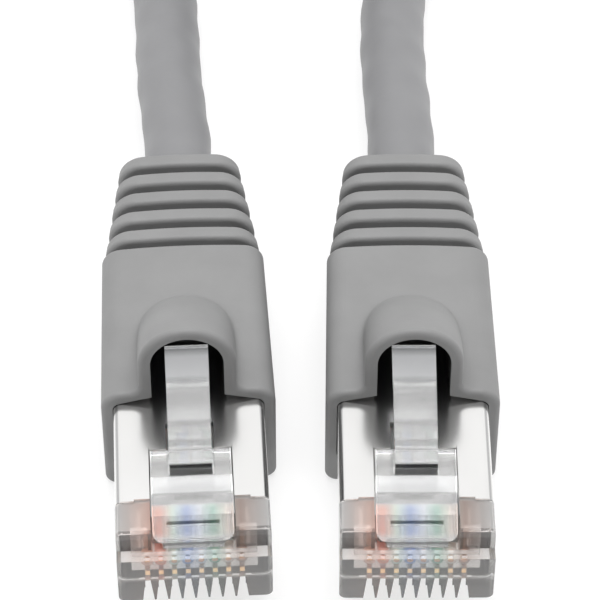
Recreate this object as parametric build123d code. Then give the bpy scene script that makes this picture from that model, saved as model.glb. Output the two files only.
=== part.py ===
from build123d import *
import os
from math import degrees, radians, tan

# Ethernet patch cable: two shielded 8-position plugs with snagless boots, lying side by side
# on a surface, and one round cable that joins them and is put away behind them as a tied hank.
#
# Part frame: X across the two plugs, Y along the plugs from nose to cable, Z up, Z = 0 at the
# surface. Its origin is the bottom centre of the two plugs.
# Plug frame: X across, Y back from the front of the nose, Z up from the underside of the nose.

# ---------------------------------------------------------------- driving dimensions (mm)
# plug housing
PLUG_WIDTH = 11.68
PLUG_HEIGHT = 6.58
PIN_PITCH = 1.02
PIN_COUNT = 8
NOSE_HEIGHT = 4.65          # front block, up to the ledge
LEDGE_DEPTH = 1.04
SHIELD_START = 4.1          # front edge of the metal shield
HOUSING_END = 21.4
NOSE_CORNER = 0.55
SLOT_LENGTH = 6.4           # contact slots, seen from below
SLOT_WIDTH = 0.5
MOUTH_HEIGHT = 2.35         # their mouths in the front face, which widen downwards
MOUTH_TOP_WIDTH = 0.38
MOUTH_BOTTOM_WIDTH = 1.0
BLADE_SLOT_WIDTH = 0.37
CAVITY_HALF_WIDTH = 4.75    # hollow that takes the wires
CAVITY_START = 1.2
CAVITY_FLOOR = 2.92
CAVITY_ROOF = 3.96
GRIP_HEIGHT = 1.9           # the slots are wide below this and grip the blades above it
UPPER_CORNER = 0.4
POCKET_TOP = 5.9            # hollows beside the latch
POCKET_START = 2.0
POCKET_END = 9.0
POCKET_INNER = 3.45
REAR_CAVITY = (4.4, 9.6, 1.0, 5.6)   # half width, start, floor, roof
CHANNEL_HALF_WIDTH = 3.2    # trough the latch is pressed into
CHANNEL_FLOOR = 4.62
CHANNEL_END = 9.4
TAIL_GROOVE = (1.85, 11.8, 6.15)     # half width, end, floor

# latch
HINGE_Y = 1.5
HINGE_Z = 4.75
KNUCKLE_RADIUS = 0.35
HINGE_GAP = 0.05
LATCH_HALF_WIDTH = 3.08
LATCH_CORNER = 0.8
KNUCKLE_HALF_WIDTH = 2.3
TAIL_HALF_WIDTH = 1.62
TAIL_END_HALF_WIDTH = 1.68
WING_END = 8.4
TAIL_START = 6.1
SHOULDER_ROUNDING = 0.12
TAIL_ROUNDING = 0.3
SLIT = (4.0, 0.24, 0.5)       # width, length and depth of the slit across the strip
SLIT_PLACE = (2.75, 5.62)     # its Y and Z
TAIL_END = 16.0

# shield
SHEET = 0.2
SHIELD_TOP = PLUG_HEIGHT + SHEET
SHIELD_END = 21.8
SHIELD_CORNER = 0.65
CRIMP_END = 28.0
TRAY_FLOOR = 4.65           # sheet under the latch, on the floor of the housing's channel
TRAY_END = 9.37
CRIMP_RADIUS = 3.32

# contacts and wires
BLADE_THICKNESS = 0.35
WIRE_RADIUS = 0.43
COPPER_RADIUS = 0.24
BAR_HALF_WIDTH = 4.65
BAR_START = 2.4
BAR_END = 9.4
WIRE_START = 1.5
WIRE_ROW_Z = 3.44
FAN_START = 10.0
FAN_END = 19.5
FAN_BEND = 8.0
BUNDLE_PITCH = 1.0
BUNDLE_HALF_HEIGHT = 0.9

# boot
BOOT_DROP = 2.75            # underside of the boot below the underside of the nose
BOOT_MIDDLE_Z = 2.6
BOOT_FRONT = 13.9
BOOT_BODY_END = 29.95
BOOT_END = 41.82
BOOT_HALF_WIDTH = 6.8       # at the front
BOOT_HALF_HEIGHT = 5.37     # before its underside is cut flat
BOOT_TAPER = 0.0155         # loss of half width for each mm towards the cable
BOOT_TOP_CORNER = 1.7
BOOT_LOW_CORNER = 1.0
CROWN = 0.35                # rise of the top's middle over its sides
MOUTH_ROUNDING = 0.4
RIB_COUNT = 5
RIB_PITCH = (BOOT_END - BOOT_BODY_END) / RIB_COUNT
RIB_LENGTH = 1.5
RIB_ROUNDING = 0.38
RIB_CORNER = 2.2
GROOVE_DEPTH = 1.0
FIRST_RIB = (6.42, 5.25)    # half width and half height next to the body
LAST_RIB = (5.04, 4.2)
HOOD_HALF_WIDTH = 3.78
HOOD_TOP = 14.7
HOOD_FALL = 0.22            # the hood's roof falls by 0.22 d^1.47 over d mm from its mouth
HOOD_POWER = 1.47
HOOD_END = 26.0
HOOD_BLEND = 0.8
HOOD_BOTTOM = 1.5           # the hood's sides run down to here inside the boot
VAULT_STATIONS = 6
TUNNEL_HALF_WIDTH = 2.83
TUNNEL_TOP = 13.85
TUNNEL_END = 22.0
TUNNEL_BOTTOM = 5.0
LIP_START = 5.3             # the mouth's lip rises from here towards the tunnel
LIP_END = 2.7
LIP_RISE = 0.7
LIP_LENGTH = 3.0
BOOT_CLEARANCE = 0.06

# cable
CABLE_RADIUS = 2.85
BORE_RADIUS = 2.88
JACKET_WALL = 0.5
JACKET_START = 22.2
BRAID_RADIUS = 3.07

# put-away hank: turns lie two wide and two high, and the front fold rides over both leads
LANE = 2 * CABLE_RADIUS
HANK_MIDDLE_X = -1.8
HANK_FRONT_CENTRE = 87.5    # centre of the front fold
HANK_BACK_CENTRE = 128.4
FOLD_RADIUS = 3 * LANE      # inner lane
HANK_OUTER = FOLD_RADIUS + 1.5 * LANE
HANK_INNER = FOLD_RADIUS - 0.5 * LANE
HANK_HEIGHT = 2 * LANE
HANK_HUMP_HEIGHT = 3 * LANE + 0.2
HANK_HUMP_END = 73.0
LEAD_END = 99.0             # where the leads become part of the hank
TIE_START = 104.0
TIE_WIDTH = 12.0
TIE_THICKNESS = 0.95

# routes of the two leads, from the back of each boot to the hank
LEAD_A = [(-9.919, 20.906, 5.35), (-10.255, 27.0, 5.35), (-11.33, 36.0, 4.3), (-11.9, 46.0, 3.2),
          (-13.4, 58.5, 2.9), (-16.2, 72.0, 2.9), (-18.6, 86.0, 2.9), (-18.9, LEAD_END, 2.9)]
LEAD_B = [(8.967, 20.969, 5.35), (8.951, 27.0, 5.35), (8.6, 36.0, 4.3), (8.6, 46.0, 3.2),
          (10.0, 58.5, 2.9), (12.7, 72.0, 2.9), (15.0, 86.0, 2.9), (15.3, LEAD_END, 2.9)]

# where the two plugs lie: nose centre and the angle each is turned to the left
PLUG_A = (-7.62, -20.851, 0.055)
PLUG_B = (9.08, -20.851, 0.0027)

os.makedirs("parts", exist_ok=True)
PINS = [(pin - (PIN_COUNT - 1) / 2) * PIN_PITCH for pin in range(PIN_COUNT)]


# ---------------------------------------------------------------- helpers
def block(x0, x1, y0, y1, z0, z1):
    """A box between two corners."""
    centre = ((x0 + x1) / 2, (y0 + y1) / 2, (z0 + z1) / 2)
    return Pos(*centre) * Box(x1 - x0, y1 - y0, z1 - z0)


def wide_block(half_width, y0, y1, z0, z1):
    """A box centred across the plug."""
    return block(-half_width, half_width, y0, y1, z0, z1)


def across(points, half_width):
    """A plate with its outline in Y and Z, centred across the plug."""
    outline = make_face(Polyline(*[(0, y, z) for y, z in points], close=True))
    return extrude(outline, amount=half_width, dir=(1, 0, 0), both=True)


def station(y):
    """A sketching plane across the plug at y, with X across and Y of the sketch up."""
    return Plane(origin=(0, y, 0), x_dir=(1, 0, 0), z_dir=(0, -1, 0))


def rounded(y, half_width, half_height, middle_z, corner):
    """A rounded rectangle across the plug at y."""
    shape = RectangleRounded(2 * half_width, 2 * half_height, corner)
    return station(y) * Pos(0, middle_z) * shape


def rod(radius, y0, y1, middle_z, x=0):
    """A round bar along the plug."""
    return extrude(station(y0) * Pos(x, middle_z) * Circle(radius), amount=-(y1 - y0))


# ---------------------------------------------------------------- plug housing
def slot_cutter(x):
    """The gap for one contact: open below and in front, narrow where it grips the blade."""
    low = -0.5                  # the cutters start below and in front of the nose
    top = MOUTH_TOP_WIDTH / 2
    bottom = MOUTH_BOTTOM_WIDTH / 2
    outline = Polyline((x - bottom, low), (x - top, MOUTH_HEIGHT), (x + top, MOUTH_HEIGHT),
                       (x + bottom, low), close=True)
    mouth = extrude(station(low) * make_face(outline), amount=-(CAVITY_START - low))
    half = SLOT_WIDTH / 2
    under = block(x - half, x + half, 0, SLOT_LENGTH, low, GRIP_HEIGHT)
    half = BLADE_SLOT_WIDTH / 2
    grip = block(x - half, x + half, CAVITY_START - 0.1, SLOT_LENGTH, 0, CAVITY_FLOOR + 0.1)
    return [mouth, under, grip]


def make_housing():
    half = PLUG_WIDTH / 2
    nose = wide_block(half, 0, SHIELD_START, 0, NOSE_HEIGHT)
    upper = wide_block(half, LEDGE_DEPTH, SHIELD_START, NOSE_HEIGHT - 0.5, PLUG_HEIGHT)
    front = nose + upper
    low_edges = front.edges().filter_by(Axis.Y).group_by(Axis.Z)[0]
    front = fillet(low_edges, NOSE_CORNER)
    top_edges = front.edges().filter_by(Axis.Y).group_by(Axis.Z)[-1]
    front = fillet(top_edges, UPPER_CORNER)
    inset = SHEET + 0.03
    body = wide_block(half - inset, SHIELD_START - 0.5, HOUSING_END, inset, PLUG_HEIGHT - 0.01)
    body = fillet(body.edges().filter_by(Axis.Y), SHIELD_CORNER - SHEET)
    housing = front + body

    cavity = wide_block(CAVITY_HALF_WIDTH, CAVITY_START, HOUSING_END, CAVITY_FLOOR, CAVITY_ROOF)
    rear_half, rear_start, rear_floor, rear_roof = REAR_CAVITY
    rear = wide_block(rear_half, rear_start, HOUSING_END + 1, rear_floor, rear_roof)
    channel = wide_block(CHANNEL_HALF_WIDTH, LEDGE_DEPTH - 0.01, CHANNEL_END,
                         CHANNEL_FLOOR, SHIELD_TOP)
    groove_half, groove_end, groove_floor = TAIL_GROOVE
    groove = wide_block(groove_half, CHANNEL_END - 1, groove_end, groove_floor, SHIELD_TOP)
    cradle = Pos(0, HINGE_Y, HINGE_Z) * Rot(0, 90, 0) * Cylinder(
        KNUCKLE_RADIUS + HINGE_GAP, 2 * KNUCKLE_HALF_WIDTH + 0.2)
    cutters = [cavity, rear, channel, groove, cradle]
    for side in (-1, 1):
        inner = side * POCKET_INNER
        outer = side * CAVITY_HALF_WIDTH
        cutters.append(block(min(inner, outer), max(inner, outer), POCKET_START, POCKET_END,
                             CAVITY_FLOOR, POCKET_TOP))
    for x in PINS:
        cutters += slot_cutter(x)
    return housing - cutters


# ---------------------------------------------------------------- latch
def make_latch():
    """One springy strip: a knuckle, a wide part with two shoulders and a raised tail."""
    strip = [(HINGE_Y + 0.1, HINGE_Z), (4.75, 5.85), (WING_END, 6.72),
             (WING_END, 7.6), (6.05, 7.2), (4.75, 6.55), (HINGE_Y - 0.15, HINGE_Z + 0.3)]
    wide = across(strip, LATCH_HALF_WIDTH)
    shoulder_edges = wide.edges().filter_by(Axis.X).group_by(Axis.Y)[-1]
    wide = fillet(shoulder_edges, SHOULDER_ROUNDING)
    front = HINGE_Y - 0.15
    plan = Pos(0, front + WING_END) * RectangleRounded(2 * LATCH_HALF_WIDTH, 2 * WING_END, LATCH_CORNER)
    wide &= extrude(plan, amount=PLUG_WIDTH)
    knuckle = Pos(0, HINGE_Y, HINGE_Z) * Rot(0, 90, 0) * Cylinder(
        KNUCKLE_RADIUS, 2 * KNUCKLE_HALF_WIDTH)
    top = [(TAIL_START, 8.5), (12.4, 10.15), (TAIL_END, 10.95)]
    underside = [(TAIL_END + 0.15, 10.2), (12.6, 9.2), (9.3, 8.25), (8.6, 7.2), (TAIL_START, 6.6)]
    tail = across(top + underside, TAIL_END_HALF_WIDTH)
    taper = Polyline((-TAIL_HALF_WIDTH, TAIL_START - 0.1), (-TAIL_END_HALF_WIDTH, TAIL_END + 0.5),
                     (TAIL_END_HALF_WIDTH, TAIL_END + 0.5), (TAIL_HALF_WIDTH, TAIL_START - 0.1),
                     close=True)
    tail &= extrude(make_face(taper), amount=PLUG_WIDTH)
    end_edges = tail.edges().filter_by(Axis.X).group_by(Axis.Y)[-1]
    tail = fillet(end_edges, TAIL_ROUNDING)
    slit = Pos(0, *SLIT_PLACE) * Box(*SLIT)
    latch = wide + knuckle + tail
    return latch - slit


# ---------------------------------------------------------------- shield
def make_shield():
    half = PLUG_WIDTH / 2
    middle = SHIELD_TOP / 2
    outer = extrude(rounded(SHIELD_START + 0.02, half, middle, middle, SHIELD_CORNER),
                    amount=-(SHIELD_END - SHIELD_START - 0.02))
    inner = extrude(rounded(SHIELD_START - 1, half - SHEET, middle - SHEET, middle,
                            SHIELD_CORNER - SHEET),
                    amount=-(SHIELD_END - SHEET - SHIELD_START + 1))
    crimp = rod(CRIMP_RADIUS, SHIELD_END - SHEET, CRIMP_END, BOOT_MIDDLE_Z)
    bore = rod(CRIMP_RADIUS - SHEET, SHIELD_END - 1, CRIMP_END + 1, BOOT_MIDDLE_Z)
    latch_window = wide_block(CHANNEL_HALF_WIDTH, SHIELD_START - 1, CHANNEL_END,
                              middle, SHIELD_TOP + 1)
    groove_half, groove_end, _ = TAIL_GROOVE
    tail_window = wide_block(groove_half, CHANNEL_END - 1, groove_end, middle, SHIELD_TOP + 1)
    contact_window = wide_block(4.3, SHIELD_START - 1, 7.2, -1, 1)
    notch = wide_block(4.4, SHIELD_START - 1, SHIELD_START + 0.2, middle, SHIELD_TOP + 1)
    seam = wide_block(0.12, SHIELD_END, CRIMP_END + 1, -2, BOOT_MIDDLE_Z)
    shell = outer - inner + crimp - [bore, latch_window, contact_window, notch, seam]
    tray_half = CHANNEL_HALF_WIDTH - 0.03
    tray = wide_block(tray_half, SHIELD_START + 0.02, TRAY_END, TRAY_FLOOR, TRAY_FLOOR + SHEET)
    back = wide_block(tray_half, TRAY_END - SHEET, TRAY_END, TRAY_FLOOR, SHIELD_TOP)
    lid = wide_block(tray_half, TRAY_END - SHEET, CHANNEL_END + SHEET, PLUG_HEIGHT, SHIELD_TOP)
    return shell + tray + back + lid - tail_window


# ---------------------------------------------------------------- contacts, wires and guide
def blade(x):
    outline = [(1.3, 0.95), (1.7, 0.55), (6.1, 0.55), (6.1, 2.6), (5.4, 2.6), (5.1, 3.5),
               (4.8, 2.6), (3.4, 2.6), (3.1, 3.5), (2.8, 2.6), (1.3, 2.6)]
    return Pos(x, 0, 0) * across(outline, BLADE_THICKNESS / 2)


def wire_route(pin):
    """From the contact row back to the bundle inside the jacket."""
    column, low = [(0, 0), (0, 1), (1, 0), (1, 1), (2, 1), (2, 0), (3, 1), (3, 0)][pin]
    bundle_x = (column - 1.5) * BUNDLE_PITCH
    bundle_z = BOOT_MIDDLE_Z + BUNDLE_HALF_HEIGHT * (1 - 2 * low)
    points = [(PINS[pin], WIRE_START, WIRE_ROW_Z), (PINS[pin], FAN_START, WIRE_ROW_Z),
              (bundle_x, FAN_END, bundle_z), (bundle_x, BOOT_END - 0.1, bundle_z)]
    return FilletPolyline(*points, radius=FAN_BEND)


def make_wire(pin, radius, hole, blades):
    route = wire_route(pin)
    section = Circle(radius)
    if hole:
        section -= Circle(hole)
    start = Plane(origin=route @ 0, z_dir=route % 0)
    return sweep(start * section, path=route) - blades[pin]


def make_load_bar():
    bar = wide_block(BAR_HALF_WIDTH, BAR_START, BAR_END, WIRE_ROW_Z, CAVITY_ROOF - 0.02)
    grooves = [rod(WIRE_RADIUS + 0.01, BAR_START - 1, BAR_END + 1, WIRE_ROW_Z, x) for x in PINS]
    return bar - grooves


# ---------------------------------------------------------------- boot
def crowned(y, half_width, half_height, top_corner, low_corner):
    """A section of the boot at y: flat below and at its sides, gently arched on top."""
    shoulder = half_height - CROWN
    sides = Polyline((-half_width, shoulder), (-half_width, -half_height),
                     (half_width, -half_height), (half_width, shoulder))
    top = ThreePointArc((half_width, shoulder), (0, half_height), (-half_width, shoulder))
    section = make_face([sides, top])
    section = fillet(section.vertices().group_by(Axis.Y)[0], low_corner)
    section = fillet(section.vertices().group_by(Axis.Y)[-1], top_corner)
    return station(y) * Pos(0, BOOT_MIDDLE_Z) * section


def boot_body():
    """The part that covers the plug."""
    sections = []
    for y in (BOOT_FRONT, BOOT_BODY_END):
        half_width = BOOT_HALF_WIDTH - BOOT_TAPER * (y - BOOT_FRONT)
        sections.append(crowned(y, half_width, BOOT_HALF_HEIGHT, BOOT_TOP_CORNER, BOOT_LOW_CORNER))
    body = loft(sections, ruled=True)
    rear_rim = body.faces().sort_by(Axis.Y)[-1].edges()
    return fillet(rear_rim, RIB_ROUNDING)


def ribbed_slab(y0, y1, sink):
    """A slab of the ribbed part, which narrows towards the cable."""
    sections = []
    for y in (y0, y1):
        share = (y - BOOT_BODY_END) / (BOOT_END - BOOT_BODY_END)
        half_width = FIRST_RIB[0] + share * (LAST_RIB[0] - FIRST_RIB[0]) - sink
        half_height = FIRST_RIB[1] + share * (LAST_RIB[1] - FIRST_RIB[1]) - sink
        sections.append(crowned(y, half_width, half_height, RIB_CORNER, RIB_CORNER))
    return loft(sections, ruled=True)


def arch(y, half_width, top, bottom):
    """An arched doorway across the plug at y."""
    spring = top - half_width
    outline = Polyline((-half_width, spring), (-half_width, bottom),
                       (half_width, bottom), (half_width, spring))
    crown = ThreePointArc((half_width, spring), (0, top), (-half_width, spring))
    return station(y) * make_face([outline, crown])


def arched_vault(y0, y1, half_width, top, bottom):
    """A vault whose roof falls away faster and faster behind the boot's mouth."""
    sections = []
    for step in range(VAULT_STATIONS):
        y = y0 + (y1 - y0) * step / (VAULT_STATIONS - 1)
        roof = top - HOOD_FALL * max(0, y - BOOT_FRONT) ** HOOD_POWER
        sections.append(arch(y, half_width, roof, bottom))
    return loft(sections)


def make_boot():
    hood = arched_vault(BOOT_FRONT, HOOD_END, HOOD_HALF_WIDTH, HOOD_TOP, HOOD_BOTTOM)
    boot = boot_body() + hood
    above_body = BOOT_MIDDLE_Z + BOOT_HALF_HEIGHT - CROWN - HOOD_BLEND
    seam = [edge for edge in boot.edges()
            if BOOT_FRONT + 0.3 < edge.center().Y < HOOD_END + 1
            and abs(edge.center().X) < HOOD_HALF_WIDTH + 0.5 and edge.center().Z > above_body]
    boot = fillet(seam, HOOD_BLEND)
    front_rim = boot.faces().sort_by(Axis.Y)[0].outer_wire().edges()
    boot = fillet(front_rim, MOUTH_ROUNDING)
    boot += ribbed_slab(BOOT_BODY_END - 1, BOOT_END - 0.5, GROOVE_DEPTH)
    for rib in range(RIB_COUNT):
        end = BOOT_END - rib * RIB_PITCH
        slab = ribbed_slab(end - RIB_LENGTH, end, 0)
        rims = slab.faces().filter_by(Axis.Y).edges()
        boot += fillet(rims, RIB_ROUNDING)

    gap = BOOT_CLEARANCE
    socket = extrude(rounded(BOOT_FRONT - 2, PLUG_WIDTH / 2 + gap, SHIELD_TOP / 2 + gap,
                             SHIELD_TOP / 2, SHIELD_CORNER + gap),
                     amount=-(SHIELD_END + 0.3 - BOOT_FRONT + 2))
    tunnel = arched_vault(BOOT_FRONT - 0.5, TUNNEL_END, TUNNEL_HALF_WIDTH, TUNNEL_TOP,
                          TUNNEL_BOTTOM)
    tunnel -= wide_block(PLUG_WIDTH, BOOT_FRONT - 2, TUNNEL_END + 1, -20, SHIELD_TOP - 0.5)
    crimp_room = rod(CRIMP_RADIUS + gap, SHIELD_END - 0.5, CRIMP_END + 0.5, BOOT_MIDDLE_Z)
    bore = rod(BORE_RADIUS, CRIMP_END, BOOT_END + 1, BOOT_MIDDLE_Z)
    flat = wide_block(BOOT_HALF_WIDTH + 1, BOOT_FRONT - 1, BOOT_END, -BOOT_DROP - 1, -BOOT_DROP)
    cutters = [socket, tunnel, crimp_room, bore, flat]
    for side in (-1, 1):
        lip = [(side * LIP_START, SHIELD_TOP - 0.3), (side * LIP_START, SHIELD_TOP + gap),
               (side * LIP_END, SHIELD_TOP + LIP_RISE), (side * LIP_END, SHIELD_TOP - 0.3)]
        wedge = extrude(station(BOOT_FRONT - 1) * make_face(Polyline(*lip, close=True)),
                        amount=-(LIP_LENGTH + 1))
        cutters.append(wedge)
    return boot - cutters


# ---------------------------------------------------------------- cable inside the plug
def make_jacket_end():
    jacket = rod(CABLE_RADIUS, JACKET_START, BOOT_END, BOOT_MIDDLE_Z)
    return jacket - rod(CABLE_RADIUS - JACKET_WALL, JACKET_START - 1, BOOT_END + 1, BOOT_MIDDLE_Z)


def make_braid_wrap():
    braid = rod(BRAID_RADIUS, JACKET_START, CRIMP_END - 0.3, BOOT_MIDDLE_Z)
    return braid - rod(CABLE_RADIUS + 0.02, JACKET_START - 1, CRIMP_END, BOOT_MIDDLE_Z)


# ---------------------------------------------------------------- free cable
def corner_radii(points):
    """The largest arc that each corner's two runs allow."""
    radii = []
    for before, corner, after in zip(points, points[1:], points[2:]):
        run_in = Vector(*corner) - Vector(*before)
        run_out = Vector(*after) - Vector(*corner)
        half_turn = radians(run_in.get_angle(run_out)) / 2
        radii.append(0.45 * min(run_in.length, run_out.length) / tan(half_turn))
    return radii


def make_lead(name, points):
    radii = corner_radii(points)
    route = FilletPolyline(*points, radius=radii)
    start = Plane(origin=route @ 0, z_dir=route % 0)
    tube = sweep(start * Circle(CABLE_RADIUS), path=route)
    section = Circle(CABLE_RADIUS).area
    print(name, "radii", [round(radius) for radius in radii], "length", round(route.length, 1),
          "volume over section x length", round(tube.volume / section / route.length, 4))
    return tube


def racetrack(radius, height):
    straight = HANK_BACK_CENTRE - HANK_FRONT_CENTRE
    middle_y = (HANK_BACK_CENTRE + HANK_FRONT_CENTRE) / 2
    outline = Rot(0, 0, 90) * SlotCenterToCenter(straight, 2 * radius)
    return Pos(HANK_MIDDLE_X, middle_y, 0) * extrude(outline, amount=height)


def make_tie():
    """A hook-and-loop strap round the left side of the hank."""
    outer_x = HANK_MIDDLE_X - HANK_OUTER
    inner_x = HANK_MIDDLE_X - HANK_INNER
    end = TIE_START + TIE_WIDTH
    gap = 0.05
    band = block(outer_x - gap - TIE_THICKNESS, inner_x + gap + TIE_THICKNESS, TIE_START, end,
                 0, HANK_HEIGHT + gap + TIE_THICKNESS)
    band = fillet(band.edges().filter_by(Axis.Y), 2.0)
    hole = block(outer_x - gap, inner_x + gap, TIE_START - 1, end + 1,
                 TIE_THICKNESS, HANK_HEIGHT + gap)
    return band - hole


def make_hank():
    ring = racetrack(HANK_OUTER, HANK_HUMP_HEIGHT) - racetrack(HANK_INNER, HANK_HUMP_HEIGHT)
    side = 2 * HANK_OUTER
    above = block(-side, side, HANK_HUMP_END, 200, HANK_HEIGHT, HANK_HUMP_HEIGHT + 1)
    lead_room = block(HANK_MIDDLE_X - FOLD_RADIUS - LANE / 2 - 0.05,
                      HANK_MIDDLE_X + FOLD_RADIUS + LANE / 2 + 0.05,
                      0, LEAD_END + 0.05, -1, LANE + 0.1)
    under_tie = block(-side, HANK_MIDDLE_X, TIE_START - 0.2, TIE_START + TIE_WIDTH + 0.2,
                      -1, TIE_THICKNESS + 0.05)
    return ring - [above, lead_room, under_tie]


# ---------------------------------------------------------------- build and write the plugs
def build_plug():
    blades = [blade(x) for x in PINS]
    pieces = {
        "housing": make_housing(),
        "latch": make_latch(),
        "shield": make_shield(),
        "contacts": Compound(children=blades),
        "load_bar": make_load_bar(),
        "boot": make_boot(),
        "jacket_end": make_jacket_end(),
        "braid_wrap": make_braid_wrap(),
    }
    copper = [make_wire(pin, COPPER_RADIUS - 0.01, 0, blades) for pin in range(PIN_COUNT)]
    pieces["copper_cores"] = Compound(children=copper)
    for pin in range(PIN_COUNT):
        pieces[f"wire_{pin + 1}"] = make_wire(pin, WIRE_RADIUS, COPPER_RADIUS, blades)
    return pieces


def place(plug):
    x, y, turn = plug
    return Location((x, y, BOOT_DROP), (0, 0, degrees(turn)))


def write(name, shape):
    export_step(shape, f"parts/{name}.step")


plug_pieces = build_plug()
for letter, plug in (("a", PLUG_A), ("b", PLUG_B)):
    for name, shape in plug_pieces.items():
        write(f"{name}_{letter}", place(plug) * shape)

write("lead_a", make_lead("lead_a", LEAD_A))
write("lead_b", make_lead("lead_b", LEAD_B))
write("cable_hank", make_hank())
write("hank_tie", make_tie())
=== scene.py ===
import math

import bpy
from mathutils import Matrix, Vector


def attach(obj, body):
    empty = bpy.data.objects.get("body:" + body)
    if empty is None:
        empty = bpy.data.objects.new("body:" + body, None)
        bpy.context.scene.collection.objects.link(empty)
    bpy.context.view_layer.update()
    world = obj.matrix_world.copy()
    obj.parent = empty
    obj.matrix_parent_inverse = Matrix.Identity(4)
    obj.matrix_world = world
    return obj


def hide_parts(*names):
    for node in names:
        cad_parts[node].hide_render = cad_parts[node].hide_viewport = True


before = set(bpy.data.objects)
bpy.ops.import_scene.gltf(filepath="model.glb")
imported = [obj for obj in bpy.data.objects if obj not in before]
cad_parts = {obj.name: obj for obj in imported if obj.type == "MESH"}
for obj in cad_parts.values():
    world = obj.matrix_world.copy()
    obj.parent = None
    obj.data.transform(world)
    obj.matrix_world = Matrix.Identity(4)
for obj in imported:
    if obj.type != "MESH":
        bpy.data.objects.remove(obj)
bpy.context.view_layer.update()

MM = 0.001                  # lengths are in mm unless they carry this factor

# ---------------------------------------------------------------- camera
LOOK_AT = Vector((0.27, 10.343, 2.755)) * MM
CAMERA_DISTANCE = 0.250
CAMERA_ELEVATION = math.radians(46.45)
CAMERA_LENS = 180.5
SENSOR_WIDTH = 36
CLIP_START = 0.01


def make_camera():
    data = bpy.data.cameras.new("camera")
    data.lens = CAMERA_LENS
    data.sensor_width = SENSOR_WIDTH
    data.clip_start = CLIP_START
    camera = bpy.data.objects.new("camera", data)
    bpy.context.scene.collection.objects.link(camera)
    back = Vector((0, -math.cos(CAMERA_ELEVATION), math.sin(CAMERA_ELEVATION)))
    camera.location = LOOK_AT + back * CAMERA_DISTANCE
    camera.rotation_euler = (-back).to_track_quat("-Z", "Y").to_euler()
    bpy.context.scene.camera = camera


# ---------------------------------------------------------------- cable
CABLE_RADIUS = 2.85
LANE = 2 * CABLE_RADIUS
FLOOR_GAP = 0.05
HANK_LAPS = 4               # the last one has no front fold
HANK_MIDDLE_X = -1.8
HANK_FRONT_CENTRE = 87.5
HANK_BACK_CENTRE = 128.4
FOLD_RADIUS = 3 * LANE
LEAD_END = 99.0
LEAD_A = [(-9.919, 20.906, 5.35), (-10.255, 27.0, 5.35), (-11.33, 36.0, 4.3), (-11.9, 46.0, 3.2),
          (-13.4, 58.5, 2.9), (-16.2, 72.0, 2.9), (-18.6, 86.0, 2.9), (-18.9, LEAD_END, 2.9)]
LEAD_B = [(8.967, 20.969, 5.35), (8.951, 27.0, 5.35), (8.6, 36.0, 4.3), (8.6, 46.0, 3.2),
          (10.0, 58.5, 2.9), (12.7, 72.0, 2.9), (15.0, 86.0, 2.9), (15.3, LEAD_END, 2.9)]
FIRST_CORNER = math.radians(225)    # the first lap lies low and inside in the bundle
FOLD_STEPS = 7              # route points in each half-round fold
RUN_STEPS = 4               # route points in each straight run
JOIN_GAP = 3                # free length between the last lap's points and the lead
CURVE_RESOLUTION = 12
TIE_START = 104.0
TIE_WIDTH = 12.0
TIE_THICKNESS = 0.95
TIE_LIFT = TIE_THICKNESS + 0.1      # how far the strands rise to lie on the strap
TIE_RAMP = 10.0
HUMP_FULL = math.radians(42)        # a fold over the leads is level this far from its front
HUMP_END = math.radians(85)         # and down again here
JACKET_SIDES = 32
JACKET_SPACING = 1.0 * MM
PAIRS = 4
TWIST_PITCH = 26.0 * MM
PAIR_BULGE = 0.03 * MM
WAVER = 0.09 * MM
WAVER_RATES = (520, 730)    # radians for each metre of cable
WAVER_STARTS = (0.7, 1.1)


def smooth(share):
    share = min(1, max(0, share))
    return share * share * (3 - 2 * share)


def lane(lap, turned):
    """How far out and how high the strand's corner of the bundle is."""
    half = LANE / 2
    corner = math.hypot(half, half)
    angle = FIRST_CORNER + (lap + turned) * math.pi / 2
    rise = corner * math.sin(math.pi / 4 + turned * math.pi / 2) - half
    out = FOLD_RADIUS + half + corner * math.cos(angle)
    up = FLOOR_GAP + CABLE_RADIUS + half + corner * math.sin(angle) + rise
    return out, up


def over_tie(y):
    """The strands rise by the strap's thickness where it passes under them."""
    off_edge = abs(y - TIE_START - TIE_WIDTH / 2) - TIE_WIDTH / 2
    return TIE_LIFT * smooth(1 - off_edge / TIE_RAMP)


def run(lap, x_side, start_y, end_y, turns):
    """A straight run; if it turns, the strand moves on to the bundle's next corner."""
    points = []
    for step in range(RUN_STEPS):
        share = (step + 0.5) / RUN_STEPS
        out, up = lane(lap, smooth(share) if turns else 0)
        y = start_y + share * (end_y - start_y)
        lift = over_tie(y) if x_side < 0 else 0
        points.append((HANK_MIDDLE_X + x_side * out, y, up + lift))
    return points


def fold(lap, centre_y, x_side, y_side, hump):
    """Half a turn from one side to the other, x_side being the side it starts on."""
    out, up = lane(lap, 0)
    step_angle = math.pi / FOLD_STEPS
    # the spline runs inside its control points, so they stand this much further out
    grow = 2 / (math.cos(step_angle / 2) + (3 + math.cos(step_angle)) / 4)
    points = []
    for step in range(FOLD_STEPS):
        angle = (step + 0.5) * step_angle
        off_front = abs(angle - math.pi / 2)
        lift = hump * smooth((HUMP_END - off_front) / (HUMP_END - HUMP_FULL))
        points.append((HANK_MIDDLE_X + x_side * out * grow * math.cos(angle),
                       centre_y + y_side * out * grow * math.sin(angle), up + lift))
    return points


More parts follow.
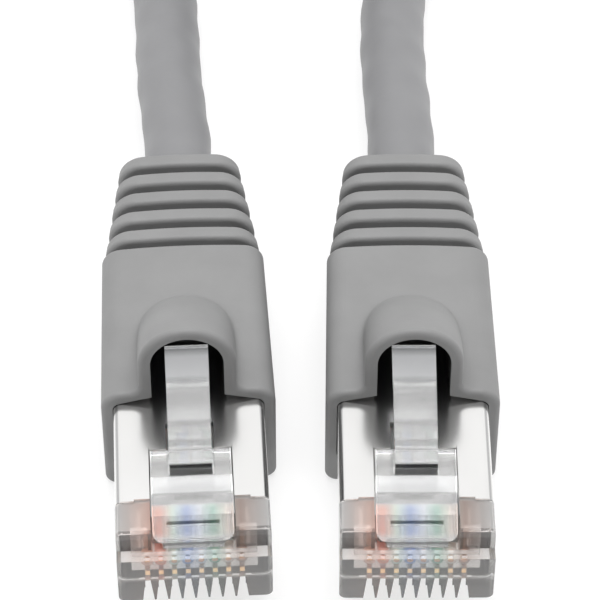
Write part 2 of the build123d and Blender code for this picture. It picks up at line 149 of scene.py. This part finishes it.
def hank_route():
    front, back = HANK_FRONT_CENTRE, HANK_BACK_CENTRE
    points = []
    last = HANK_LAPS - 1
    for lap in range(HANK_LAPS):
        if lap:
            points += run(lap, -1, front, back, False)
        points += fold(lap, back, -1, 1, 0)
        if lap < last:
            points += run(lap, 1, back, front, True)
            outer = lane(lap + 1, 0)[0] > FOLD_RADIUS + LANE / 2
            points += fold(lap + 1, front, 1, -1, LANE if outer else 0)
    points += [point for point in run(last, 1, back, front, True)
               if point[1] > LEAD_END + JOIN_GAP]
    return points


def route_curve():
    """The whole cable's line: a smooth spline with the route's points as its controls."""
    x, _, z = LEAD_A[-1]
    over_strap = [(x, y, z + over_tie(y)) for y in (LEAD_END + 11, LEAD_END + 20)]
    points = LEAD_A + over_strap + hank_route() + LEAD_B[::-1]
    curve = bpy.data.curves.new("cable_route", "CURVE")
    curve.dimensions = "3D"
    curve.resolution_u = CURVE_RESOLUTION
    spline = curve.splines.new("NURBS")
    spline.points.add(len(points) - 1)
    for control, point in zip(spline.points, points):
        control.co = (*(Vector(point) * MM), 1)
    spline.order_u = 3
    spline.use_endpoint_u = True
    return curve


def points_along(curve):
    """Points read from the curve's own line."""
    holder = bpy.data.objects.new("route_reader", curve)
    line = bpy.data.meshes.new_from_object(holder)
    points = [vertex.co.copy() for vertex in line.vertices]
    bpy.data.objects.remove(holder)
    return points


def evenly(points, spacing):
    """The same line with its points a set distance apart."""
    total = sum((b - a).length for a, b in zip(points, points[1:]))
    count = round(total / spacing)
    step = total / count
    result = [points[0]]
    travelled = 0.0
    for a, b in zip(points, points[1:]):
        length = (b - a).length
        while length > 0 and travelled + length >= step * len(result) and len(result) < count:
            result.append(a.lerp(b, (step * len(result) - travelled) / length))
        travelled += length
    result.append(points[-1])
    return result, total


STRAP_ROUNDING = 4.5        # exponent of the strap's rounded-square loop
STRAP_START = 200           # degrees round the bundle, counted upwards from its inner side
STRAP_TURN = 430
STRAP_STEP = 5
STRAP_SLACK = 0.05
STRAP_OFF_FLOOR = 0.15
OVERLAP_RISE = 1.1
OVERLAP_START = 330         # degrees of strap laid before it climbs on to its own start
OVERLAP_RAMP = 40
ROUND_END = 25              # degrees of strap over which its free end is rounded
END_NARROWING = 1.6
STRAP_SOFTNESS = 0.25 * MM


def make_tie():
    """A hook-and-loop strap, once round the bundle and on over its own start."""
    middle_x = HANK_MIDDLE_X - FOLD_RADIUS - LANE / 2
    middle_z = TIE_THICKNESS + STRAP_OFF_FLOOR + LANE
    reach = LANE + STRAP_SLACK
    middle_y = TIE_START + TIE_WIDTH / 2
    vertices, faces = [], []
    steps = STRAP_TURN // STRAP_STEP
    for step in range(steps + 1):
        travelled = step * STRAP_STEP
        angle = math.radians(STRAP_START - travelled)
        c, s = math.cos(angle), math.sin(angle)
        x = math.copysign(abs(c) ** (2 / STRAP_ROUNDING), c) * reach
        z = math.copysign(abs(s) ** (2 / STRAP_ROUNDING), s) * reach
        normal = Vector((math.copysign(abs(c) ** (2 - 2 / STRAP_ROUNDING), c), 0,
                         math.copysign(abs(s) ** (2 - 2 / STRAP_ROUNDING), s))).normalized()
        rise = OVERLAP_RISE * smooth((travelled - OVERLAP_START) / OVERLAP_RAMP)
        from_end = min(1, (STRAP_TURN - travelled) / ROUND_END)
        narrow = END_NARROWING * (1 - math.sqrt(1 - (1 - from_end) ** 2))
        for across, out in ((-1, 0), (-1, 1), (1, 1), (1, 0)):
            place = Vector((middle_x + x, middle_y + across * (TIE_WIDTH / 2 - narrow),
                            middle_z + z))
            vertices.append((place + normal * (rise + out * TIE_THICKNESS)) * MM)
    for step in range(steps):
        for corner in range(4):
            a, b = 4 * step + corner, 4 * step + (corner + 1) % 4
            faces.append((a, b, b + 4, a + 4))
    faces.append((3, 2, 1, 0))
    faces.append(tuple(4 * steps + corner for corner in range(4)))
    mesh = bpy.data.meshes.new("strap")
    mesh.from_pydata(vertices, [], faces)
    tie = bpy.data.objects.new("strap", mesh)
    bpy.context.scene.collection.objects.link(tie)
    bevel = tie.modifiers.new("soft_edges", "BEVEL")
    bevel.width = STRAP_SOFTNESS
    bevel.segments = 2
    mesh.shade_smooth()
    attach(tie, "root")
    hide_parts("hank_tie")
    return tie


def make_cable():
    """A jacket whose surface shows the twist of the four pairs under it."""
    path, length = evenly(points_along(route_curve()), JACKET_SPACING)
    print("cable length", round(length, 4))
    vertices, faces = [], []
    tangent = (path[1] - path[0]).normalized()
    across = Vector((1, 0, 0)) - tangent * tangent.x
    across.normalize()
    for index, point in enumerate(path):
        before = path[max(0, index - 1)]
        after = path[min(len(path) - 1, index + 1)]
        tangent = (after - before).normalized()
        across = (across - tangent * across.dot(tangent)).normalized()
        other = tangent.cross(across)
        along = index * JACKET_SPACING
        for side in range(JACKET_SIDES):
            angle = side * math.tau / JACKET_SIDES
            lobes = math.cos(PAIRS * angle - math.tau * along * PAIRS / TWIST_PITCH)
            drift = (math.sin(angle + along * WAVER_RATES[0] + WAVER_STARTS[0])
                     * math.sin(along * WAVER_RATES[1] + WAVER_STARTS[1]))
            radius = CABLE_RADIUS * MM + PAIR_BULGE * lobes + WAVER * drift
            vertices.append(point + (across * math.cos(angle) + other * math.sin(angle)) * radius)
    for ring in range(len(path) - 1):
        for side in range(JACKET_SIDES):
            a = ring * JACKET_SIDES + side
            b = ring * JACKET_SIDES + (side + 1) % JACKET_SIDES
            faces.append((a, b, b + JACKET_SIDES, a + JACKET_SIDES))
    last = (len(path) - 1) * JACKET_SIDES
    faces.append(tuple(range(JACKET_SIDES - 1, -1, -1)))
    faces.append(tuple(last + side for side in range(JACKET_SIDES)))
    mesh = bpy.data.meshes.new("cable")
    mesh.from_pydata(vertices, [], faces)
    mesh.shade_smooth()
    cable = bpy.data.objects.new("cable", mesh)
    bpy.context.scene.collection.objects.link(cable)
    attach(cable, "root")
    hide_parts("lead_a", "lead_b", "cable_hank")
    return cable


# ---------------------------------------------------------------- materials
MOTTLE_RANGE = (0.3, 0.7)   # values of the noise at the darkest and the lightest colour
PLASTIC_MOTTLE = 300        # scales of the noise, in waves for each metre
METAL_MOTTLE = 200
METAL_GRAIN_DEPTH = 0.01 * MM
CLEAR_INDEX = 1.5           # refractive index of the clear plastic


def new_material(name):
    made = bpy.data.materials.new(name)
    made.use_nodes = True
    shader = made.node_tree.nodes["Principled BSDF"]
    return made, shader


def add(tree, kind, **settings):
    node = tree.nodes.new(kind)
    for key, value in settings.items():
        if key in node.inputs:
            node.inputs[key].default_value = value
        else:
            setattr(node, key, value)
    return node


def grain(made, shader, scale, strength, distance):
    """Fine surface grain as bump."""
    tree = made.node_tree
    place = add(tree, "ShaderNodeTexCoord")
    noise = add(tree, "ShaderNodeTexNoise", Scale=scale, Detail=3.0)
    bump = add(tree, "ShaderNodeBump", Strength=strength, Distance=distance)
    tree.links.new(place.outputs["Object"], noise.inputs["Vector"])
    tree.links.new(noise.outputs["Fac"], bump.inputs["Height"])
    tree.links.new(bump.outputs["Normal"], shader.inputs["Normal"])


def mottle(made, shader, colour, spread, scale):
    """Base colour that wanders a little round its mean."""
    tree = made.node_tree
    place = add(tree, "ShaderNodeTexCoord")
    noise = add(tree, "ShaderNodeTexNoise", Scale=scale, Detail=4.0)
    ramp = add(tree, "ShaderNodeValToRGB")
    for element, position, share in zip(ramp.color_ramp.elements, MOTTLE_RANGE,
                                        (1 - spread, 1 + spread)):
        element.position = position
        element.color = (*[c * share for c in colour], 1)
    tree.links.new(place.outputs["Object"], noise.inputs["Vector"])
    tree.links.new(noise.outputs["Fac"], ramp.inputs["Fac"])
    tree.links.new(ramp.outputs["Color"], shader.inputs["Base Color"])


def plastic(name, colour, roughness, spread=0.03, grain_scale=2500, grain_strength=0.25,
            grain_depth=0.02 * MM):
    made, shader = new_material(name)
    shader.inputs["Roughness"].default_value = roughness
    mottle(made, shader, colour, spread, PLASTIC_MOTTLE)
    grain(made, shader, grain_scale, grain_strength, grain_depth)
    return made


def metal(name, colour, roughness, grain_scale=900, grain_strength=0.05):
    made, shader = new_material(name)
    shader.inputs["Metallic"].default_value = 1.0
    shader.inputs["Roughness"].default_value = roughness
    mottle(made, shader, colour, 0.02, METAL_MOTTLE)
    grain(made, shader, grain_scale, grain_strength, METAL_GRAIN_DEPTH)
    return made


# Where each plug lies, as in the part's source: x and y of the nose's centre, and its turn.
PLUGS = {"a": (-7.62, -20.851, 0.055), "b": (9.08, -20.851, 0.0027)}
NOSE_LIFT = 2.75


def plug_frame(tree, letter):
    """X, Y and Z in the plug's own frame, in millimetres."""
    x, y, turn = PLUGS[letter]
    place = add(tree, "ShaderNodeTexCoord")
    mapping = add(tree, "ShaderNodeMapping", vector_type="TEXTURE")
    mapping.inputs["Location"].default_value = (x * MM, y * MM, NOSE_LIFT * MM)
    mapping.inputs["Rotation"].default_value = (0, 0, turn)
    mapping.inputs["Scale"].default_value = (MM, MM, MM)
    split = add(tree, "ShaderNodeSeparateXYZ")
    tree.links.new(place.outputs["Object"], mapping.inputs["Vector"])
    tree.links.new(mapping.outputs["Vector"], split.inputs["Vector"])
    return split.outputs


def calc(tree, operation, first, second=0.0):
    """One sum on sockets or numbers."""
    node = add(tree, "ShaderNodeMath", operation=operation)
    for socket, value in zip(node.inputs, (first, second)):
        if isinstance(value, (int, float)):
            socket.default_value = value
        else:
            tree.links.new(value, socket)
    return node.outputs[0]


def between(tree, value, low, high, soft):
    """1 where value lies between low and high, fading over soft at both ends."""
    rise = calc(tree, "DIVIDE", calc(tree, "SUBTRACT", value, low), soft)
    fall = calc(tree, "DIVIDE", calc(tree, "SUBTRACT", high, value), soft)
    both = add(tree, "ShaderNodeMath", operation="MINIMUM", use_clamp=True)
    tree.links.new(rise, both.inputs[0])
    tree.links.new(fall, both.inputs[1])
    return both.outputs[0]


def tint(tree, shader, mask, colour):
    """Mix a colour, fixed or from a socket, into the base colour where the mask is 1."""
    base = shader.inputs["Base Color"]
    mix = add(tree, "ShaderNodeMix", data_type="RGBA")
    factor, first, second = mix.inputs[0], mix.inputs[6], mix.inputs[7]
    first.default_value = base.default_value
    if isinstance(colour, tuple):
        second.default_value = (*colour, 1)
    else:
        tree.links.new(colour, second)
    if base.links:
        tree.links.new(base.links[0].from_socket, first)
    tree.links.new(mask, factor)
    tree.links.new(mix.outputs[2], base)


def clear_plastic(name, colour, roughness, clarity):
    """Polycarbonate, with the haze of a moulding: clarity 1 is glass-clear."""
    made, shader = new_material(name)
    shader.inputs["Base Color"].default_value = (*colour, 1)
    shader.inputs["Transmission Weight"].default_value = clarity
    shader.inputs["IOR"].default_value = CLEAR_INDEX
    shader.inputs["Roughness"].default_value = roughness
    return made, shader


FAR = 20.0                  # past the latch's end and all heights: for masks with no far end
WIRE_COLOURS = {            # by contact number, from left to right seen from the nose
    1: (0.95, 0.56, 0.42), 2: (0.95, 0.24, 0.09), 3: (0.70, 0.85, 0.74), 4: (0.10, 0.28, 0.75),
    5: (0.76, 0.82, 0.95), 6: (0.10, 0.46, 0.30), 7: (0.90, 0.76, 0.66), 8: (0.42, 0.20, 0.11),
}
PLUG_HALF_WIDTH = 5.84
PIN_PITCH = 1.02
PIN_MIDDLE = 4.5            # the plug's middle, as a contact number
HAZE = (0.87, 0.87, 0.865)
WIRE_PAINTED_SHARE = 0.58            # share of a wire's own colour painted into the haze over it
NOSE_END = 4.4


def bands(tree, value, stops):
    """A colour, or a grey for a single number, for each of the stops along value."""
    low, high = stops[0][0], stops[-1][0]
    share = calc(tree, "DIVIDE", calc(tree, "SUBTRACT", value, low), high - low)
    ramp = add(tree, "ShaderNodeValToRGB")
    elements = ramp.color_ramp.elements
    elements[0].position, elements[1].position = 0, 1
    for place, _ in stops[1:-1]:
        elements.new((place - low) / (high - low))
    for element, (_, colour) in zip(elements, stops):
        element.color = (*(colour if isinstance(colour, tuple) else (colour,) * 3), 1)
    tree.links.new(share, ramp.inputs["Fac"])
    return ramp.outputs["Color"]


def painted_wire_colours(tree, axis):
    """Painted colour across the plug of the wires seen through the plastic, each in its own
    place: painted light, not a colour of the plastic.
    """
    stops = [(-PLUG_HALF_WIDTH, HAZE)]
    for number, colour in WIRE_COLOURS.items():
        mixed = tuple(h + (c - h) * WIRE_PAINTED_SHARE for h, c in zip(HAZE, colour))
        stops.append(((number - PIN_MIDDLE) * PIN_PITCH, mixed))
    stops.append((PLUG_HALF_WIDTH, HAZE))
    return bands(tree, axis["X"], stops)


HOUSING_COLOUR = (0.87, 0.875, 0.87)
HOUSING_ROUGHNESS = 0.08
CLARITY = 0.80
TOP_CLARITY = 0.62          # the top face is hazier than the rest
HAZY_TOP = 6.3
HAZY_FROM = 1.35            # behind the nose's front edge, which stays clear
HAZY_END = 9.0              # under the metal sheet
NOSE_TOP = 4.5
LOW_WIRE_PAINT = 0.25             # share of the wires' painted colours below the top of the nose


def housing_material(letter):
    """Clear plastic, with the wires' colours painted into its haze in the nose as painted light
    seen through it.
    """
    made, shader = clear_plastic(f"clear_plastic_{letter}", HOUSING_COLOUR, HOUSING_ROUGHNESS,
                                 CLARITY)
    tree = made.node_tree
    axis = plug_frame(tree, letter)
    # painted light: the colours of the wires under the nose, painted into the plastic's base
    # colour
    above = calc(tree, "MULTIPLY", between(tree, axis["Z"], NOSE_TOP, FAR, 0.2), 1 - LOW_WIRE_PAINT)
    mask = calc(tree, "MULTIPLY", between(tree, axis["Y"], -1.0, NOSE_END, 0.4),
                calc(tree, "ADD", above, LOW_WIRE_PAINT))
    tint(tree, shader, mask, painted_wire_colours(tree, axis))
    hazy = calc(tree, "MULTIPLY", between(tree, axis["Z"], HAZY_TOP, FAR, 0.05),
                between(tree, axis["Y"], HAZY_FROM, HAZY_END, 0.1))
    clarity = calc(tree, "SUBTRACT", CLARITY, calc(tree, "MULTIPLY", hazy, CLARITY - TOP_CLARITY))
    tree.links.new(clarity, shader.inputs["Transmission Weight"])
    return made


BOOT_GREY = (0.228, 0.228, 0.228)
TUNNEL_PAINTED_SHADE = (0.012, 0.012, 0.012)
TUNNEL_RADIUS = 2.83
TUNNEL_TOP = 13.85
TUNNEL_FLOOR = 6.7
TUNNEL_END = 24.0
BOOT_FRONT = 13.9
HOOD_FALL = 0.22            # the tunnel falls by this times its depth to the power below
HOOD_POWER = 1.47


def boot_material(letter):
    """Grey PVC, with painted shade in the lining of the hood's tunnel, where light does not
    reach.
    """
    made = plastic(f"boot_grey_{letter}", BOOT_GREY, 0.55, spread=0.04, grain_scale=3500,
                   grain_strength=0.45)
    tree = made.node_tree
    axis = plug_frame(tree, letter)
    depth = calc(tree, "MAXIMUM", calc(tree, "SUBTRACT", axis["Y"], BOOT_FRONT), 0.0)
    fall = calc(tree, "MULTIPLY", calc(tree, "POWER", depth, HOOD_POWER), HOOD_FALL)
    spring = calc(tree, "SUBTRACT", TUNNEL_TOP - TUNNEL_RADIUS, fall)
    above = calc(tree, "MAXIMUM", calc(tree, "SUBTRACT", axis["Z"], spring), 0.0)
    squares = calc(tree, "ADD", calc(tree, "POWER", above, 2.0),
                   calc(tree, "MULTIPLY", axis["X"], axis["X"]))
    inside = between(tree, calc(tree, "SQRT", squares), -1.0, TUNNEL_RADIUS + 0.2, 0.1)
    deep = between(tree, axis["Y"], BOOT_FRONT + 0.25, TUNNEL_END, 0.5)
    high = between(tree, axis["Z"], TUNNEL_FLOOR, FAR, 0.1)
    mask = calc(tree, "MULTIPLY", calc(tree, "MULTIPLY", inside, deep), high)
    # painted shade: the tunnel's lining is coloured near black
    tint(tree, tree.nodes["Principled BSDF"], mask, TUNNEL_PAINTED_SHADE)
    return made


LATCH_COLOUR = (0.86, 0.86, 0.855)
LATCH_ROUGHNESS = 0.10
LATCH_CLARITY = 0.90
LATCH_PAINTED_LIGHT_COLOUR = (0.97, 0.98, 1.0)
STRIP_EDGE = (2.97, 3.3)    # half width of the strip, where its sawn side begins
EDGE_HAZE = 0.55
LATCH_ROOT = 1.7            # from here to NOSE_END the wires' colours are painted on it too
STRIP_START = 4.75          # a line inside the strip: its start, its height there and its rise
STRIP_HEIGHT = 6.2
STRIP_SLOPE = 0.24
STRIP_SPAN = (4.6, 9.0)
# Painted light and shade along the latch, as a grey for each place in mm behind the nose: the
# strip's root, its slope over the metal tray, its shoulders and its rear edge; then the tail's
# root, its middle and, after its bend, its end.
STRIP_PAINTED_LIGHT_SHADE = [(4.7, 0.55), (4.95, 1.0), (6.0, 1.0), (6.1, 0.5), (7.2, 0.5), (7.8, 0.95),
               (8.4, 0.95)]
TAIL_PAINTED_LIGHT_SHADE = [(6.2, 1.0), (8.1, 1.0), (9.2, 0.66), (12.38, 0.66), (12.5, 0.94), (16.0, 0.94)]
TAIL_START = 6.2
TAIL_HALF_WIDTH = 1.75
SHEET_FRONT = (3.95, 4.8)   # painted shade on the strip over the front edge of the metal sheet
SHEET_FRONT_PAINTED_SHADE = (0.36, 0.36, 0.365)
STEP_DEPTH = (6.0, 6.2)     # the step in front of the tail, painted dark as shade
STEP_HEIGHT = (7.25, 8.42)
STEP_HALF_WIDTH = 1.6
STEP_PAINTED_SHADE = (0.05, 0.05, 0.05)
SLOPE = (4.85, 6.05)        # painted light here and at the tail's end: a glow that stands in for light led along the plastic
SLOPE_PAINTED_LIGHT = 0.25
TAIL_END = (12.9, 16.0)
TAIL_END_PAINTED_LIGHT = 0.22


def latch_material(letter):
    """Hazy plastic with painted light and shade in zones along the latch, painted shade on its
    step and a painted glow.
    """
    made, shader = clear_plastic(f"latch_plastic_{letter}", LATCH_COLOUR, LATCH_ROUGHNESS,
                                 LATCH_CLARITY)
    tree = made.node_tree
    axis = plug_frame(tree, letter)
    # painted light: the colours of the wires seen through the plastic at the latch's root
    root = between(tree, axis["Y"], LATCH_ROOT, NOSE_END, 0.4)
    tint(tree, shader, root, painted_wire_colours(tree, axis))

    middle_z = calc(tree, "MULTIPLY", calc(tree, "SUBTRACT", axis["Y"], STRIP_START),
                    STRIP_SLOPE)
    over_middle = calc(tree, "SUBTRACT", calc(tree, "SUBTRACT", axis["Z"], middle_z),
                       STRIP_HEIGHT)
    top_face = between(tree, over_middle, 0.0, FAR, 0.05)
    # painted light and shade along the strip's top face
    strip = calc(tree, "MULTIPLY", between(tree, axis["Y"], *STRIP_SPAN, 0.1), top_face)
    tint(tree, shader, strip, bands(tree, axis["Y"], STRIP_PAINTED_LIGHT_SHADE))
    # painted shade over the front edge of the metal sheet
    shaded = calc(tree, "MULTIPLY", between(tree, axis["Y"], *SHEET_FRONT, 0.2),
                  between(tree, over_middle, -0.1, FAR, 0.05))
    tint(tree, shader, shaded, SHEET_FRONT_PAINTED_SHADE)

    # painted light and shade along the tail
    on_tail = calc(tree, "MULTIPLY", between(tree, axis["Y"], TAIL_START, FAR, 0.05),
                   between(tree, axis["X"], -TAIL_HALF_WIDTH, TAIL_HALF_WIDTH, 0.03))
    tint(tree, shader, on_tail, bands(tree, axis["Y"], TAIL_PAINTED_LIGHT_SHADE))
    # painted shade on the step in front of the tail
    step = calc(tree, "MULTIPLY", between(tree, axis["Y"], *STEP_DEPTH, 0.04),
                between(tree, axis["Z"], *STEP_HEIGHT, 0.05))
    step = calc(tree, "MULTIPLY", step,
                between(tree, axis["X"], -STEP_HALF_WIDTH, STEP_HALF_WIDTH, 0.05))
    tint(tree, shader, step, STEP_PAINTED_SHADE)

    edge = between(tree, calc(tree, "ABSOLUTE", axis["X"]), *STRIP_EDGE, 0.03)
    clarity = calc(tree, "SUBTRACT", LATCH_CLARITY, calc(tree, "MULTIPLY", edge, EDGE_HAZE))
    tree.links.new(clarity, shader.inputs["Transmission Weight"])
    # painted light: the latch glows at its slope and its end, though it is no lamp
    slope = calc(tree, "MULTIPLY", between(tree, axis["Y"], *SLOPE, 0.1), SLOPE_PAINTED_LIGHT)
    end = calc(tree, "MULTIPLY", between(tree, axis["Y"], *TAIL_END, 0.5), TAIL_END_PAINTED_LIGHT)
    painted_light = calc(tree, "MULTIPLY", calc(tree, "ADD", slope, end), top_face)
    tree.links.new(painted_light, shader.inputs["Emission Strength"])
    shader.inputs["Emission Color"].default_value = (*LATCH_PAINTED_LIGHT_COLOUR, 1)
    return made


NICKEL = (0.865, 0.86, 0.85)
BENT_EDGE_PAINTED_SHADE = (0.5, 0.5, 0.5)
SHELL_EDGE = (5.45, 5.75)   # the rounded edges of the metal sheet, painted darker as shade, and where its top begins
SHELL_UPPER = 6.0


def sheet_material(letter):
    """Nickel-plated sheet, with painted shade round its bent edges."""
    made = metal(f"nickel_{letter}", NICKEL, 0.2)
    tree = made.node_tree
    axis = plug_frame(tree, letter)
    out = calc(tree, "ABSOLUTE", axis["X"])
    mask = calc(tree, "MULTIPLY", between(tree, out, *SHELL_EDGE, 0.08),
                between(tree, axis["Z"], SHELL_UPPER, FAR, 0.1))
    # painted shade along the sheet's bent edges
    tint(tree, tree.nodes["Principled BSDF"], mask, BENT_EDGE_PAINTED_SHADE)
    return made


def dress(node, made):
    """Give a piece of the part's own mesh its material."""
    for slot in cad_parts[node].material_slots:
        slot.material = made
    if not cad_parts[node].material_slots:
        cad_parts[node].data.materials.append(made)


def dress_nodes(cable, tie):
    jacket = plastic("jacket_grey", (0.215, 0.215, 0.221), 0.42)
    guide, _ = clear_plastic("guide_plastic", (0.90, 0.90, 0.90), 0.12, clarity=0.92)
    gold = metal("gold", (0.95, 0.62, 0.28), 0.2)
    copper = metal("copper", (0.9, 0.45, 0.25), 0.3)
    braid = metal("braid", (0.7, 0.7, 0.7), 0.4, grain_scale=3000, grain_strength=0.6)
    tape = plastic("tape_black", (0.02, 0.02, 0.022), 0.9, spread=0.2, grain_scale=3000,
                   grain_strength=0.8, grain_depth=0.1 * MM)
    cable.data.materials.append(jacket)
    for letter in "ab":
        dress(f"boot_{letter}", boot_material(letter))
        dress(f"jacket_end_{letter}", jacket)
        dress(f"housing_{letter}", housing_material(letter))
        dress(f"latch_{letter}", latch_material(letter))
        dress(f"load_bar_{letter}", guide)
        dress(f"shield_{letter}", sheet_material(letter))
        dress(f"contacts_{letter}", gold)
        dress(f"copper_cores_{letter}", copper)
        dress(f"braid_wrap_{letter}", braid)
    for number, colour in WIRE_COLOURS.items():
        insulation = plastic(f"wire_{number}", colour, 0.35)
        for letter in "ab":
            dress(f"wire_{number}_{letter}", insulation)
    tie.data.materials.append(tape)


# ---------------------------------------------------------------- floor and light
FLOOR_HALF = 3.0            # these lengths are in metres
FLOOR_GREY = (0.32, 0.32, 0.32)
FLOOR_GLOW = 0.68           # the surface glows a little, like a light table
TENT_FRONT = (-0.75, 0.32)  # Y of a direction, and how bright the tent is there
TENT_BACK = (0.0, 1.0)
LAMP_PLACE = (0.0, 0.02, 0.6)
LAMP_TARGET = (0, 0.02, 0)
LAMP_SIZE = (0.4, 0.4)
LAMP_POWER = 2.6


def make_floor():
    half = FLOOR_HALF
    mesh = bpy.data.meshes.new("floor")
    corners = [(-half, -half, 0), (half, -half, 0), (half, half, 0), (-half, half, 0)]
    mesh.from_pydata(corners, [], [(0, 1, 2, 3)])
    floor = bpy.data.objects.new("floor", mesh)
    bpy.context.scene.collection.objects.link(floor)
    made, shader = new_material("floor")
    shader.inputs["Base Color"].default_value = (*FLOOR_GREY, 1)
    shader.inputs["Roughness"].default_value = 0.8
    shader.inputs["Emission Color"].default_value = (1, 1, 1, 1)
    shader.inputs["Emission Strength"].default_value = FLOOR_GLOW
    mesh.materials.append(made)


def area_light(name, place, target, size, power):
    data = bpy.data.lights.new(name, "AREA")
    data.shape = "RECTANGLE"
    data.size, data.size_y = size
    data.energy = power
    lamp = bpy.data.objects.new(name, data)
    lamp.location = place
    lamp.rotation_euler = (Vector(target) - Vector(place)).to_track_quat("-Z", "Y").to_euler()
    bpy.context.scene.collection.objects.link(lamp)


def make_light():
    """A light tent that is bright behind and at the sides, and dark towards the front."""
    world = bpy.data.worlds.new("studio")
    bpy.context.scene.world = world
    world.use_nodes = True
    tree = world.node_tree
    place = add(tree, "ShaderNodeTexCoord")
    split = add(tree, "ShaderNodeSeparateXYZ")
    tree.links.new(place.outputs["Generated"], split.inputs["Vector"])
    front = add(tree, "ShaderNodeMapRange", interpolation_type="SMOOTHSTEP")
    front.inputs["From Min"].default_value, front.inputs["To Min"].default_value = TENT_FRONT
    front.inputs["From Max"].default_value, front.inputs["To Max"].default_value = TENT_BACK
    tree.links.new(split.outputs["Y"], front.inputs["Value"])
    background = tree.nodes["Background"]
    background.inputs["Color"].default_value = (1.0, 1.0, 1.0, 1)
    tree.links.new(front.outputs["Result"], background.inputs["Strength"])
    area_light("overhead", LAMP_PLACE, LAMP_TARGET, LAMP_SIZE, LAMP_POWER)


make_camera()
tie = make_tie()
cable = make_cable()
dress_nodes(cable, tie)
make_floor()
make_light()
scene = bpy.context.scene
scene.view_settings.view_transform = "Standard"
scene.cycles.max_bounces = 16
scene.cycles.transmission_bounces = 12
